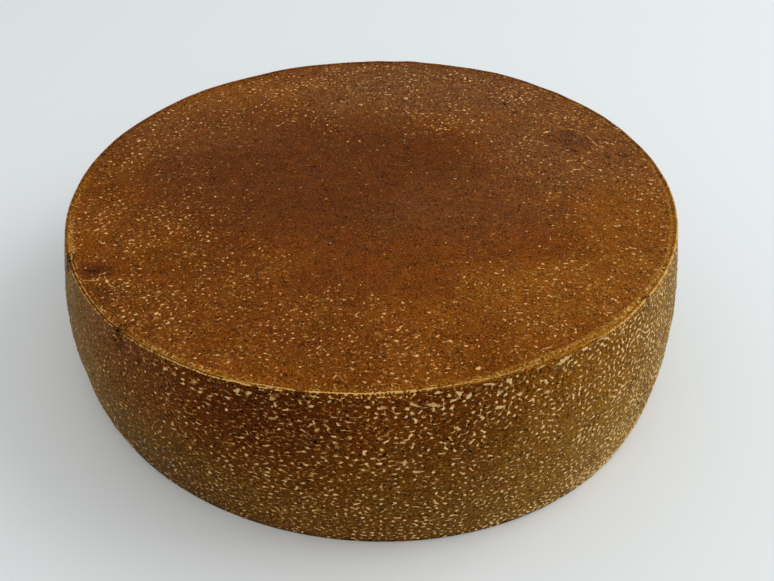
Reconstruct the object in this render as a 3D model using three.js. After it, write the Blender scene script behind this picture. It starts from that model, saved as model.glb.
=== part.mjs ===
// A whole, uncut wheel of washed-rind mountain cheese, lying flat.
//
// Units are millimetres, +Z is up and the wheel's front faces -Y. The origin is on the
// underside, below the middle of the widest girth. Bearings are in degrees round the wheel,
// from +X towards +Y, so the front is at -90.
//
// The wheel starts as a lathed solid with a bulging side. It is then given what pressing,
// turning and ripening give a real one: a slight wedge and lean, a wavy rim with the folds of
// the pressing cloth, an uneven skin, and the knocks and flakes of the rind.

import * as THREE from 'three';

// ---------- Driving dimensions ----------

const RIM_RADIUS = 150; // the sharp upper edge
const BASE_RADIUS = 150.7; // the lower edge
const THICKNESS = 86.1; // in the middle, before the top is dished
const SIDE_BULGE = 5.5; // how far the belly stands out past a straight side
const BELLY_SKEW = 1.12; // 1 keeps the belly at half height, and a larger number lowers it
const LOWER_EDGE = 0.5; // how much the lower edge is eased where it meets the floor
const TOP_DISH = 1; // the middle of the top face lies this much below its edge

const WEDGE_RISE = 18; // the rim at +X is this much higher than the rim at -X
const LEAN = 4.2; // the top face lies this far towards -X of the underside
const GIRTH_SHARE = 0.45; // height of the widest girth, as a share of the thickness

// Slow waves of the rim's height round the wheel
const RIM_WAVES = [
  { count: 2, height: 1.1, crest: -71 },
  { count: 3, height: 0.65, crest: -75 },
];

// Folds of the pressing cloth, which run along the rim on the top face
const CREST = { inset: 0.4, halfWidth: 1.3, height: 0.45 };
const CREASE = { inset: 1.8, halfWidth: 1.3, height: -0.45 };
const INNER_FOLD = { inset: 3.2, halfWidth: 1.5, height: 0.4 };
const FOLD_BAND = 5; // the folds have faded out this far in from the edge
const SMOOTH_FRONT = { bearing: -86, fullAt: 12, goneAt: 34 }; // a single crest about this bearing

// Lumps of the skin, from the cheese's own unevenness down to coarse crags
const LUMPS = [
  { size: 26, height: 0.5 },
  { size: 10, height: 0.28 },
];
const LUMP_FADE = 0.07; // share of the height over which the side's lumps fade at each edge

// Places where the rim is knocked or the fold breaks off, with the streak below each
const NOTCHES = [
  { bearing: -134, halfWidth: 5, depth: 1.6, run: 17 },
  { bearing: -99.5, halfWidth: 4, depth: 0.8, run: 6 },
  { bearing: -36, halfWidth: 3.5, depth: 0.9, run: 8 },
];

// Hollows in the top face, placed from its middle
const HOLLOWS = [
  { x: -124, y: -64, halfLength: 8, halfWidth: 6, turn: 10, depth: 0.9 },
  { x: 98, y: 51, halfLength: 14, halfWidth: 7, turn: -38, depth: 1.2 },
];

// Thick flakes of rind on the side, placed by how far they lie below the rim
const FLAKES = [
  { bearing: -60, drop: 3.2, halfLength: 6.5, halfHeight: 2.6, proud: 0.6 },
  { bearing: -64, drop: 2.4, halfLength: 5, halfHeight: 2.2, proud: 0.5 },
  { bearing: -68.5, drop: 5, halfLength: 5, halfHeight: 2.6, proud: 0.5 },
  { bearing: -76, drop: 4.6, halfLength: 6, halfHeight: 2.4, proud: 0.4 },
  { bearing: -104, drop: 5.2, halfLength: 5, halfHeight: 2.8, proud: 0.5 },
  { bearing: -109, drop: 3.4, halfLength: 5, halfHeight: 2.4, proud: 0.4 },
  { bearing: -48, drop: 2.4, halfLength: 6, halfHeight: 2.2, proud: 0.4 },
];

// ---------- Fineness of the mesh ----------

const SEGMENTS = 144;
const SIDE_RINGS = 20;
const FACE_RINGS = 11;

// ---------- Small helpers ----------

const toRadians = THREE.MathUtils.degToRad;
const toDegrees = THREE.MathUtils.radToDeg;
const smoothstep = THREE.MathUtils.smoothstep;

// The shortest turn from one bearing to another, in degrees
function turnBetween(from, to) {
  return THREE.MathUtils.euclideanModulo(to - from + 180, 360) - 180;
}

// 1 in the middle of a place, falling smoothly to 0 at its edge, where t is 1
function hump(t) {
  return Math.abs(t) < 1 ? (1 + Math.cos(Math.PI * t)) / 2 : 0;
}

// A repeatable value from -1 to 1 for one corner of the noise lattice
function latticeValue(i, j, k) {
  const wave = Math.sin(i * 127.1 + j * 311.7 + k * 74.7) * 43758.5453;
  return 2 * (wave - Math.floor(wave)) - 1;
}

// Smooth noise from -1 to 1, whose lumps are about `size` across
function smoothNoise(point, size) {
  const corner = point.clone().divideScalar(size).floor();
  const within = point.clone().divideScalar(size).sub(corner);
  let sum = 0;
  for (let step = 0; step < 8; step += 1) {
    const dx = step & 1;
    const dy = (step >> 1) & 1;
    const dz = (step >> 2) & 1;
    const weightX = dx ? smoothstep(within.x, 0, 1) : 1 - smoothstep(within.x, 0, 1);
    const weightY = dy ? smoothstep(within.y, 0, 1) : 1 - smoothstep(within.y, 0, 1);
    const weightZ = dz ? smoothstep(within.z, 0, 1) : 1 - smoothstep(within.z, 0, 1);
    const value = latticeValue(corner.x + dx, corner.y + dy, corner.z + dz);
    sum += weightX * weightY * weightZ * value;
  }
  return sum;
}

// ---------- The lathed wheel ----------

// Radius of the side at a share of the height: 1 at the rim and 0 at the underside
function sideRadius(height) {
  const drop = 1 - height;
  const skewed = drop ** BELLY_SKEW;
  const straight = RIM_RADIUS + (BASE_RADIUS - RIM_RADIUS) * drop;
  return straight + SIDE_BULGE * 4 * skewed * (1 - skewed);
}

// The half outline, from the middle of the underside to the middle of the top face
function outline() {
  const points = [new THREE.Vector2(0, 0), new THREE.Vector2(BASE_RADIUS - LOWER_EDGE, 0)];
  for (let ring = 0; ring <= SIDE_RINGS; ring += 1) {
    const share = (1 - Math.cos((Math.PI * ring) / SIDE_RINGS)) / 2;
    const z = THREE.MathUtils.lerp(LOWER_EDGE, THICKNESS, share);
    points.push(new THREE.Vector2(sideRadius(z / THICKNESS), z));
  }
  for (const inset of [CREST.inset, CREASE.inset, INNER_FOLD.inset]) {
    points.push(new THREE.Vector2(RIM_RADIUS - inset, THICKNESS));
  }
  for (let ring = FACE_RINGS; ring > 0; ring -= 1) {
    const share = Math.sin((Math.PI / 2) * (ring / FACE_RINGS));
    points.push(new THREE.Vector2((RIM_RADIUS - FOLD_BAND) * share, THICKNESS));
  }
  points.push(new THREE.Vector2(0, THICKNESS));
  return points;
}

// ---------- What makes the wheel uneven ----------

function lumps(point) {
  return LUMPS.reduce((sum, lump) => sum + lump.height * smoothNoise(point, lump.size), 0);
}

function rimWave(bearing) {
  return RIM_WAVES.reduce((sum, wave) => {
    return sum + wave.height * Math.cos(toRadians(wave.count * (bearing - wave.crest)));
  }, 0);
}

// How far a notch reaches at this bearing: 1 in its middle, 0 outside it
function notchShare(notch, bearing) {
  return hump((toRadians(turnBetween(notch.bearing, bearing)) * RIM_RADIUS) / notch.halfWidth);
}

// Height of the cloth folds at a distance in from the edge
function foldHeight(inset, bearing) {
  const fromFront = Math.abs(turnBetween(SMOOTH_FRONT.bearing, bearing));
  const doubled = smoothstep(fromFront, SMOOTH_FRONT.fullAt, SMOOTH_FRONT.goneAt);
  const broken = Math.max(...NOTCHES.map((notch) => notchShare(notch, bearing)));
  const crest = CREST.height * hump((inset - CREST.inset) / CREST.halfWidth);
  const crease = CREASE.height * hump((inset - CREASE.inset) / CREASE.halfWidth);
  const inner = INNER_FOLD.height * hump((inset - INNER_FOLD.inset) / INNER_FOLD.halfWidth);
  return (crest + doubled * (crease + inner)) * (1 - broken);
}

function hollowDepth(x, y) {
  return HOLLOWS.reduce((sum, hollow) => {
    const offset = new THREE.Vector2(x - hollow.x, y - hollow.y);
    offset.rotateAround(new THREE.Vector2(), toRadians(-hollow.turn));
    const reach = Math.hypot(offset.x / hollow.halfLength, offset.y / hollow.halfWidth);
    return sum + hollow.depth * hump(reach);
  }, 0);
}

// How far notches and flakes move the side in or out, at a distance below the rim
function sideMarks(bearing, drop) {
  const pushedIn = NOTCHES.reduce((sum, notch) => {
    return sum + notch.depth * notchShare(notch, bearing) * hump(drop / notch.run);
  }, 0);
  const proud = FLAKES.reduce((sum, flake) => {
    const along = (toRadians(turnBetween(flake.bearing, bearing)) * RIM_RADIUS) / flake.halfLength;
    const down = (drop - flake.drop) / flake.halfHeight;
    return sum + flake.proud * hump(Math.hypot(along, down));
  }, 0);
  return proud - pushedIn;
}

// Height of the top face above the lathed one, where x and y are from the face's middle
function topRise(x, y) {
  const radius = Math.hypot(x, y);
  const bearing = toDegrees(Math.atan2(y, x));
  const edgeShare = Math.min(1, radius / RIM_RADIUS) ** 2;
  const wedge = (WEDGE_RISE * x) / (2 * RIM_RADIUS);
  const uneven = lumps(new THREE.Vector3(x, y, THICKNESS));
  return wedge + (rimWave(bearing) + TOP_DISH) * edgeShare - TOP_DISH + uneven;
}

// Moves one point of the lathed wheel to its place on the real one
function settle(point) {
  const height = point.z / THICKNESS;
  const radius = Math.hypot(point.x, point.y);
  const bearing = toDegrees(Math.atan2(point.y, point.x));
  const rise = topRise(point.x, point.y);
  const settled = point.clone();
  if (height < 1) {
    const fade = smoothstep(height, 0, LUMP_FADE) * smoothstep(1 - height, 0, LUMP_FADE);
    const push = lumps(point) * fade + sideMarks(bearing, THICKNESS - point.z);
    settled.x += push * Math.cos(toRadians(bearing));
    settled.y += push * Math.sin(toRadians(bearing));
    settled.z += rise * height;
  } else {
    settled.z += rise + foldHeight(RIM_RADIUS - radius, bearing) - hollowDepth(point.x, point.y);
  }
  settled.x += LEAN * (GIRTH_SHARE - height);
  return settled;
}

// ---------- The wheel ----------

function wheelGeometry() {
  const geometry = new THREE.LatheGeometry(outline(), SEGMENTS);
  geometry.rotateX(Math.PI / 2);
  const positions = geometry.getAttribute('position');
  for (let index = 0; index < positions.count; index += 1) {
    const onLathe = new THREE.Vector3().fromBufferAttribute(positions, index);
    const settled = onLathe.z > 0 ? settle(onLathe) : onLathe.setX(onLathe.x + LEAN * GIRTH_SHARE);
    positions.setXYZ(index, settled.x, settled.y, settled.z);
  }
  geometry.computeVertexNormals();
  return geometry;
}

const rind = new THREE.MeshStandardMaterial({ color: 0x6e441c, roughness: 0.62, metalness: 0 });
const wheel = new THREE.Mesh(wheelGeometry(), rind);
wheel.name = 'cheese_wheel';

const group = new THREE.Group();
group.add(wheel);

export default group;
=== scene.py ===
import math

import bpy
import numpy as np
from mathutils import Matrix, Vector


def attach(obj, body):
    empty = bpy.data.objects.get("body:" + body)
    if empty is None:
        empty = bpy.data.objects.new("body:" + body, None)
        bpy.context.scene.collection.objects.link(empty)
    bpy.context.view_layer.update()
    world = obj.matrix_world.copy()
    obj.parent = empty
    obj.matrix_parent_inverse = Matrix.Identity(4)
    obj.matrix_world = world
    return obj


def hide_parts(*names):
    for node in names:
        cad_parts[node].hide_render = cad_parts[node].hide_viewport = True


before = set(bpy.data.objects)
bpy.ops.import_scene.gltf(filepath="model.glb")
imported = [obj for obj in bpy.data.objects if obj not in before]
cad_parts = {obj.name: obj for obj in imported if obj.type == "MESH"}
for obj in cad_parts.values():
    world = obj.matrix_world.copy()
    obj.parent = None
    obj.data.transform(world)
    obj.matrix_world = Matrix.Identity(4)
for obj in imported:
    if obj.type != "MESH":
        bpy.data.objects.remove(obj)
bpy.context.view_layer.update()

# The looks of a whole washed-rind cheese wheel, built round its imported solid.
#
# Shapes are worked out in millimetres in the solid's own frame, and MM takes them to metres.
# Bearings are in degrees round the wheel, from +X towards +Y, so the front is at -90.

MM = 0.001
NODE = "cheese_wheel"
BODY = "root"

# ---------- The wheel's form, as its solid has it ----------

RIM_RADIUS = 150.0  # the sharp upper edge
BASE_RADIUS = 150.7  # the lower edge
THICKNESS = 86.1  # in the middle, before the top is dished
SIDE_BULGE = 5.5  # how far the belly stands out past a straight side
BELLY_SKEW = 1.12  # 1 keeps the belly at half height, and a larger number lowers it
LOWER_EDGE = 0.5  # how much the lower edge is eased where it meets the floor
TOP_DISH = 1.0  # the middle of the top face lies this much below its edge
WEDGE_RISE = 18.0  # the rim at +X is this much higher than the rim at -X
LEAN = 4.2  # the top face lies this far towards -X of the underside
GIRTH_SHARE = 0.45  # height of the widest girth, as a share of the thickness
RIM_WAVES = ((2, 1.1, -71), (3, 0.65, -75))  # count, height, bearing of a crest

# Folds of the pressing cloth along the rim: inset from the edge, half width, height
CREST = (0.4, 1.3, 0.45)
CREASE = (1.8, 1.3, -0.45)
INNER_FOLD = (3.2, 1.5, 0.4)
FOLD_BAND = 5.0  # the folds have faded out this far in from the edge
SMOOTH_FRONT = (-86.0, 12.0, 34.0)  # bearing, and how far from it the folds start and are full

# Lumps of the skin: size and height
LUMPS = ((26, 0.5), (10, 0.28))
FINE_LUMPS = ((4.6, 0.11), (2.3, 0.06))  # crags finer than the solid holds
LUMP_FADE = 0.07  # share of the height over which the side's lumps fade at each edge

# Knocks of the rim: bearing, half width, depth, how far the streak runs down the side
NOTCHES = (
    (-134, 5, 1.6, 17),
    (-99.5, 4, 0.8, 6),
    (-36, 3.5, 0.9, 8),
)

# Hollows of the top face: x, y, half length, half width, turn, depth
HOLLOWS = (
    (-124, -64, 8, 6, 10, 0.9),
    (98, 51, 14, 7, -38, 1.2),
)

# Thick flakes of the side: bearing, distance below the rim, half length, half height, how proud
FLAKES = (
    (-60, 3.2, 6.5, 2.6, 0.6),
    (-64, 2.4, 5, 2.2, 0.5),
    (-68.5, 5, 5, 2.6, 0.5),
    (-76, 4.6, 6, 2.4, 0.4),
    (-104, 5.2, 5, 2.8, 0.5),
    (-109, 3.4, 5, 2.4, 0.4),
    (-48, 2.4, 6, 2.2, 0.4),
)

# What turns a corner of the noise lattice into a number that looks random
CORNER_TURNS = (127.1, 311.7, 74.7)
CORNER_SPREAD = 43758.5453


def turn_between(start, end):
    """The shortest turn from one bearing to another, in degrees."""
    return (end - start + 180.0) % 360.0 - 180.0


def hump(t):
    """1 in the middle of a place, falling smoothly to 0 at its edge, where t is 1."""
    return np.where(np.abs(t) < 1, (1 + np.cos(np.pi * np.clip(t, -1, 1))) / 2, 0.0)


def smoothstep(value, low, high):
    """0 up to low and 1 from high on, with a smooth rise between them."""
    t = np.clip((value - low) / (high - low), 0, 1)
    return t * t * (3 - 2 * t)


def lattice_value(*corner):
    """A repeatable value from -1 to 1 for one corner of the noise lattice."""
    angle = sum(place * turn for place, turn in zip(corner, CORNER_TURNS))
    wave = np.sin(angle) * CORNER_SPREAD
    return 2 * (wave - np.floor(wave)) - 1


def smooth_noise(points, size):
    """Smooth noise from -1 to 1, whose lumps are about size across."""
    scaled = points / size
    corner = np.floor(scaled)
    weight = smoothstep(scaled - corner, 0, 1)
    total = np.zeros(len(points))
    for step in range(8):
        offset = np.array([step & 1, (step >> 1) & 1, (step >> 2) & 1])
        share = np.prod(np.where(offset, weight, 1 - weight), axis=1)
        total += share * lattice_value(*(corner + offset).T)
    return total


def at_height(x, y, z):
    """Points that are all at one height, or in one layer of noise."""
    return np.column_stack([x, y, np.full(len(x), z)])


def turned_reach(x, y, half_length, half_width, turn):
    """How far out places lie in a turned ellipse: 0 in its middle and 1 at its edge."""
    cos, sin = math.cos(math.radians(turn)), math.sin(math.radians(turn))
    return np.hypot((x * cos + y * sin) / half_length, (y * cos - x * sin) / half_width)


def lumps(points, sizes=LUMPS):
    """How far the lumps of these sizes and heights move points of the skin."""
    return sum(height * smooth_noise(points, size) for size, height in sizes)


def rim_wave(bearing):
    """Height of the rim's slow waves."""
    return sum(h * np.cos(np.radians(count * (bearing - crest))) for count, h, crest in RIM_WAVES)


def notch_share(notch, bearing):
    """How far a knock reaches at this bearing: 1 in its middle, 0 outside it."""
    arc = np.radians(turn_between(notch[0], bearing)) * RIM_RADIUS
    return hump(arc / notch[1])


def doubled_fold(bearing):
    """0 where the rim has one crest only, and 1 where it is folded double."""
    middle, start, full = SMOOTH_FRONT
    return smoothstep(np.abs(turn_between(middle, bearing)), start, full)


def fold_height(inset, bearing):
    """Height of the cloth folds at a distance in from the edge."""
    broken = np.max([notch_share(notch, bearing) for notch in NOTCHES], axis=0)
    crest, crease, inner = (
        height * hump((inset - middle) / half)
        for middle, half, height in (CREST, CREASE, INNER_FOLD)
    )
    return (crest + doubled_fold(bearing) * (crease + inner)) * (1 - broken)


def hollow_depth(x, y):
    """How deep the hollows are at places of the top face."""
    total = np.zeros(np.shape(x))
    for middle_x, middle_y, half_length, half_width, turn, depth in HOLLOWS:
        reach = turned_reach(x - middle_x, y - middle_y, half_length, half_width, turn)
        total += depth * hump(reach)
    return total


def side_marks(bearing, drop):
    """How far knocks and flakes move the side in or out, at a distance below the rim."""
    total = np.zeros(np.shape(bearing))
    for notch in NOTCHES:
        total -= notch[2] * notch_share(notch, bearing) * hump(drop / notch[3])
    for middle, below, half_length, half_height, proud in FLAKES:
        along = np.radians(turn_between(middle, bearing)) * RIM_RADIUS / half_length
        total += proud * hump(np.hypot(along, (drop - below) / half_height))
    return total


def side_radius(height):
    """Radius of the side at a share of the height: 1 at the rim and 0 at the underside."""
    drop = 1 - height
    skewed = np.maximum(drop, 0) ** BELLY_SKEW
    straight = RIM_RADIUS + (BASE_RADIUS - RIM_RADIUS) * drop
    return straight + SIDE_BULGE * 4 * skewed * (1 - skewed)


def top_rise(x, y):
    """Height of the top face above a flat one, where x and y are from the face's middle."""
    bearing = np.degrees(np.arctan2(y, x))
    edge_share = np.minimum(1, np.hypot(x, y) / RIM_RADIUS) ** 2
    wedge = WEDGE_RISE * x / (2 * RIM_RADIUS)
    uneven = lumps(at_height(x, y, THICKNESS))
    return wedge + (rim_wave(bearing) + TOP_DISH) * edge_share - TOP_DISH + uneven


def on_face(x, y):
    """Points of the top face, given from its middle."""
    bearing, radius = np.degrees(np.arctan2(y, x)), np.hypot(x, y)
    fine = lumps(at_height(x, y, THICKNESS), FINE_LUMPS)
    fine *= smoothstep(RIM_RADIUS - radius, 0, FOLD_BAND)
    rise = top_rise(x, y) + fold_height(RIM_RADIUS - radius, bearing) - hollow_depth(x, y)
    rise -= PIT_DEPTH * pit_share(x, y)
    return np.column_stack([x + LEAN * (GIRTH_SHARE - 1), y, THICKNESS + rise + fine])


def on_side(bearing, z):
    """Points of the side, at heights z of the wheel before it is wedged."""
    height = z / THICKNESS
    radius = side_radius(height)
    cos, sin = np.cos(np.radians(bearing)), np.sin(np.radians(bearing))
    plain = np.column_stack([radius * cos, radius * sin, z])
    fade = smoothstep(height, 0, LUMP_FADE) * smoothstep(1 - height, 0, LUMP_FADE)
    push = (lumps(plain) + lumps(plain, FINE_LUMPS)) * fade + side_marks(bearing, THICKNESS - z)
    rise = top_rise(plain[:, 0], plain[:, 1])
    return np.column_stack([
        (radius + push) * cos + LEAN * (GIRTH_SHARE - height),
        (radius + push) * sin,
        z + rise * height,
    ])


def on_base(x, y):
    """Points of the flat underside, given from its middle."""
    return at_height(x + LEAN * GIRTH_SHARE, y, 0.0)


# ---------- Where colours and specks change ----------

# Small pits of the top face: x, y, half size
PITS = (
    (124.1, 35.3, 2.8), (132.4, 36.2, 3.2), (79.1, 85.1, 3.6), (74.3, 93.8, 2.4), (97.9, 85.5, 2.4),
    (106.9, 41.6, 3.2), (88.9, 19.5, 1.8), (67.9, 23.6, 2.6), (-128, -65.2, 2.2),
    (-125.2, -64.9, 2.2), (-122.4, -64.6, 2.2), (-117, -68.5, 2),
)
PIT_DEPTH = 0.5
PIT_LUMPS = 3.0  # size of what makes the pits ragged
PIT_RAGGED = 0.4
FLAT_FLOOR = 1.8  # pits and gaps are worked out this much too strong, and cut off flat

# Sunken floors of the top face: x, y, half length, half width, turn, strength
SUNKEN = (
    (106.5, 54, 12, 7.5, -48, 0.3),
    (-124, -66.5, 5.5, 2.6, 5, 0.5),
    (-119, -79, 7, 3.4, -20, 0.4),
)
SUNKEN_REACH = 1.1  # how far out their edges end, and how wide the edges are
SUNKEN_EDGE = 0.3

# Dark gaps of the rim: bearing, half width, reach on the top face and down the side, strength
GAPS = (
    (-134, 7, 6, 15, 0.55),
    (-157.5, 5, 5, 16, 1.3),
    (-99.5, 3, 2, 5, 0.45),
    (-36, 3, 3, 8, 0.65),
)

# Patches of the top face: x, y, half length, half width, strength. They are dark, bare of
# specks, golden, or covered with a dull bloom that is partly a painted sheen, a glancing reflection.
DARK_TOP = (
    (-35, 26, 118, 78, 1),
    (10, -4, 84, 46, 0.7),
    (-58, -92, 90, 42, 0.4),
    (-124, -66, 15, 9, 1),
    (-112, -84, 12, 8, 0.8),
    (106, 53, 15, 10, 0.6),
)
BARE_TOP = (
    (-18, 12, 104, 66, 1),
    (24, -34, 76, 52, 0.8),
    (106, 53, 18, 12, 1.1),
    (-124, -66, 12, 8, 0.8),
)
GOLD_TOP = (
    (128, -30, 30, 80, 0.5),
    (88, -84, 62, 34, 0.5),
    (-84, 106, 50, 24, 0.5),
)
# Partly painted sheen: their dull grey-brown stands in for a glancing reflection at the back and left
# of the top, and partly real bloom
BLOOM_AND_SHEEN_TOP = (
    (40, 120, 110, 46, 1),
    (110, 50, 60, 60, 0.8),
    (52, -14, 50, 36, 0.35),
    (-110, 80, 60, 50, 0.4),
)
PATCH_LUMPS = 24.0  # size of what makes the patches ragged
PATCH_RAGGED = 0.22
PATCH_EDGE = (0.45, 1.2)  # a patch fades between these shares of its half size

# Layers of noise on the top face, each with a pattern of its own
DARK_LAYER = 11.0
PIT_LAYER = 29.0
GOLD_LAYER = 37.0
BLOOM_AND_SHEEN_LAYER = 53.0
BARE_LAYER = 71.0
CLUSTER_LAYERS = ((95, 15, 1), (123, 6, 1.3))  # layer, size, strength

# Places of the top face where specks crowd: x, y, half size
SPECK_CROWDS = (
    (-37, 120, 20), (26, 122, 14), (77, 102, 14), (42, 70, 16), (108, 78, 14), (-127, 32, 12),
    (-127, -22, 15), (-108, -46, 20), (-59, -85, 11), (-30, -106, 20), (62, -94, 20),
    (-103, -99, 8), (-94, -107, 8), (-74, -122, 11), (-56, -128, 10), (22, -125, 10),
    (38, -121, 10), (-85, -20, 55), (-78, -82, 46), (70, -68, 50),
)
OUTER_RING = (110.0, 140.0)  # distances from the middle between which specks become more

# How thick the top's specks lie where nothing changes it, and what each change adds or takes
TOP_SPECKED = 0.84
BARE_LOSS = 0.85
CLUSTER_GAIN = 0.2
CROWD_GAIN = 0.3
OUTER_GAIN = 0.15

# Bearings of the side: middle, half range, strength
DARK_SIDE = (
    (-106, 26, 1),
    (-76, 16, 0.5),
    (-44, 24, 0.16),
    (58, 26, 0.6),
    (146, 28, 0.8),
)
SHADED_SIDE = ((-118, 42, 1),)  # where the side lies in shade, and its specks are painted duller, as painted shade
GOLD_SIDE = ((-22, 70, 1), (-172, 44, 0.45), (108, 50, 0.6))
FULL_SIDE = ((-104, 64, 0.27), (-32, 50, 0.2))  # where specks lie thicker from top to foot
CROWDED_SIDE = ((-80, 28, 0.2), (-36, 14, 0.25))  # where they lie thicker high up
SPARSE_SIDE = ((-112, 24, 0.2),)  # where they lie thinner high up
PLOUGHED_SIDE = ((-106, 46, 0.8),)  # where they are drawn out along the side
SHADED_FOOT = ((-128, 30, 1),)  # where the side is painted dull and dark low down, as painted shade

DARK_HEIGHTS = (0.1, 0.95)  # the side's dark places grow stronger between these shares of height
SHADE_BELOW = 0.6  # share of the height under which the foot has its painted shade, and how soft its edge is
SHADE_EDGE = 0.45
# How much the painted shade of the foot darkens it, and how much it greys it
SHADE_DARKENS = 0.42
SHADE_GREYING = 0.12

# How thick the side's specks lie where nothing changes it, and what each change adds or takes
SIDE_SPECKED = 0.76
GOLD_GAIN = 0.31
# fewer specks where the side has its grey painted sheen
SHEEN_SPECK_LOSS = 0.42
FOOT_HEIGHT = 20.0  # they lie thicker below this
FOOT_GAIN = 0.1
FOOT_GOLD_GAIN = 0.5
FOOT_SHADED_LOSS = 0.2

# How strongly a grey painted sheen lies on the side round the wheel, a glancing reflection where it
# turns away: bearing and share
PAINTED_SHEEN_SIDE = (
    (-162, 1), (-134, 0.15), (-116, 0), (-44, 0), (-20, 0.9), (5, 0.8), (40, 0.15), (150, 0.15),
    (178, 0.7),
)

# Where the worn crest runs round the wheel: bearing, and inset from the edge
CREST_COURSE = (
    (-168, 0.3), (-158, 0), (-150, -0.15), (-114, -0.15), (-105, 0.75), (-97, 0.6), (-84, 0.35),
    (-74, 0.65), (-62, 0.8), (-54, 1.1), (-49, -0.35), (-43, -0.35), (-36, 0.35), (-10, 0.35),
    (10, 0.3),
)

# How worn the rim's two folds are round the wheel: bearing and share
CREST_WORN = (
    (-160, 0.35), (-152, 0.1), (-130, 0.35), (-118, 0.55), (-110, 0.6), (-105, 0.85),
    (-98, 1.15), (-82, 1.2), (-76, 0.45), (-66, 0.3), (-52, 0.3), (-47, 0.95), (-38, 1.1),
    (-5, 1.2), (12, 0.6), (25, 0), (150, 0), (175, 0.3),
)
INNER_WORN = (
    (-172, 0.9), (-160, 0.9), (-154, 0.5), (-148, 0.1), (-139, 0.3), (-130, 0.45), (-116, 0.5),
    (-108, 0.2), (-102, 0), (-80, 0), (-70, 0.45), (-50, 0.85), (-28, 0.8), (-16, 0.3),
    (0, 0.4), (12, 0.6), (30, 0.6), (60, 0.1), (160, 0), (174, 0.3),
)

# Where the dark crease between the rim's folds runs, and how dark it is
CREASE_COURSE = (
    (-170, 0.8), (-156, 0.5), (-114, 0.5), (-104, 2.1), (-60, 2.1), (-50, 1), (-42, 1),
    (-36, 2), (20, 2),
)
DARK_CREASE = (
    (-170, 0.3), (-160, 0.7), (-112, 0.7), (-104, 0.3), (-96, 0), (-76, 0), (-60, 0.35),
    (-10, 0.35), (20, 0.3),
)

# How strongly the rim is rubbed golden: bearing and share
RUBBED_RIM = (
    (-178, 0.3), (-160, 0.35), (-150, 0.1), (-140, 0.3), (-134, 0.1), (-128, 0.4), (-114, 0.5),
    (-104, 0.15), (-84, 0.2), (-74, 0.45), (-58, 0.85), (-20, 0.85), (0, 0.5), (30, 0.15),
    (60, 0), (160, 0),
)


def along_rim(bearing, shares):
    """What a table gives at each bearing, evenly filled in between its rows."""
    given = np.array(shares)
    return np.interp(bearing, given[:, 0], given[:, 1], period=360)


def patch_share(x, y, patches, layer):
    """How far places of the top face lie inside ragged patches: 1 well inside, 0 outside."""
    ragged = PATCH_RAGGED * smooth_noise(at_height(x, y, layer), PATCH_LUMPS)
    share = np.zeros(len(x))
    for middle_x, middle_y, half_length, half_width, strength in patches:
        reach = np.hypot((x - middle_x) / half_length, (y - middle_y) / half_width) + ragged
        share = np.maximum(share, strength * (1 - smoothstep(reach, *PATCH_EDGE)))
    return share


def pit_share(x, y):
    """How deep places of the top face lie in the pits and sunken floors: 1 at the bottom of the pits.
    """
    uneven = 1 + PIT_RAGGED * smooth_noise(at_height(x, y, PIT_LAYER), PIT_LUMPS)
    deepest = np.max(
        [hump(np.hypot(x - at_x, y - at_y) * uneven / half) for at_x, at_y, half in PITS], axis=0
    )
    floors = np.zeros(len(x))
    for middle_x, middle_y, half_length, half_width, turn, strength in SUNKEN:
        reach = turned_reach(x - middle_x, y - middle_y, half_length, half_width, turn)
        inside = smoothstep(SUNKEN_REACH - reach * uneven, 0.0, SUNKEN_EDGE)
        floors = np.maximum(floors, strength * inside)
    return np.maximum(np.minimum(1.0, FLAT_FLOOR * deepest), floors)


def gap_share(bearing, inset):
    """How dark a gap makes the rim, at a distance in on the top face or, below 0, down the side."""
    total = np.zeros(np.shape(bearing))
    for middle, half_width, top_reach, side_reach, strength in GAPS:
        arc = np.radians(turn_between(middle, bearing)) * RIM_RADIUS
        reach = top_reach if inset > 0 else side_reach
        share = np.minimum(1.0, FLAT_FLOOR * hump(arc / half_width) * hump(inset / reach))
        total = np.maximum(total, strength * share)
    return total


def range_share(bearing, ranges):
    """How far bearings lie inside ranges of the side: 1 in a middle, 0 outside."""
    shares = [
        strength * hump(turn_between(middle, bearing) / half) for middle, half, strength in ranges
    ]
    return np.max(shares, axis=0)


def top_specks(x, y):
    """How thick the top's specks lie: 0 where there are next to none, and over 1 in a crowd."""
    clusters = sum(
        strength * smooth_noise(at_height(x, y, layer), size)
        for layer, size, strength in CLUSTER_LAYERS
    )
    crowds = [hump(np.hypot(x - at_x, y - at_y) / half) for at_x, at_y, half in SPECK_CROWDS]
    specked = TOP_SPECKED - BARE_LOSS * patch_share(x, y, BARE_TOP, BARE_LAYER)
    specked += CLUSTER_GAIN * clusters + CROWD_GAIN * np.max(crowds, axis=0)
    return specked + OUTER_GAIN * smoothstep(np.hypot(x, y), *OUTER_RING)


def side_specks(bearing, z):
    """How thick the side's specks lie: 0 where there are next to none, and over 1 in a crowd."""
    gold, painted_sheen = range_share(bearing, GOLD_SIDE), along_rim(bearing, PAINTED_SHEEN_SIDE)
    specked = SIDE_SPECKED + GOLD_GAIN * gold - SHEEN_SPECK_LOSS * painted_sheen + range_share(bearing, FULL_SIDE)
    upper = smoothstep(z, 0.5 * THICKNESS, THICKNESS)
    specked += upper * (range_share(bearing, CROWDED_SIDE) - range_share(bearing, SPARSE_SIDE))
    foot = smoothstep(FOOT_HEIGHT - z, 0.0, FOOT_HEIGHT)
    foot_gain = FOOT_GOLD_GAIN * gold * (1 - painted_sheen) + FOOT_GAIN
    return specked + foot * (foot_gain - FOOT_SHADED_LOSS * range_share(bearing, SHADED_SIDE))


# ---------- Making pieces ----------


def add_values(mesh, name, values):
    """Gives a mesh one number for each vertex, which its material reads by name."""
    attribute = mesh.attributes.new(name, "FLOAT", "POINT")
    attribute.data.foreach_set("value", np.asarray(values, np.float32))


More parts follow.
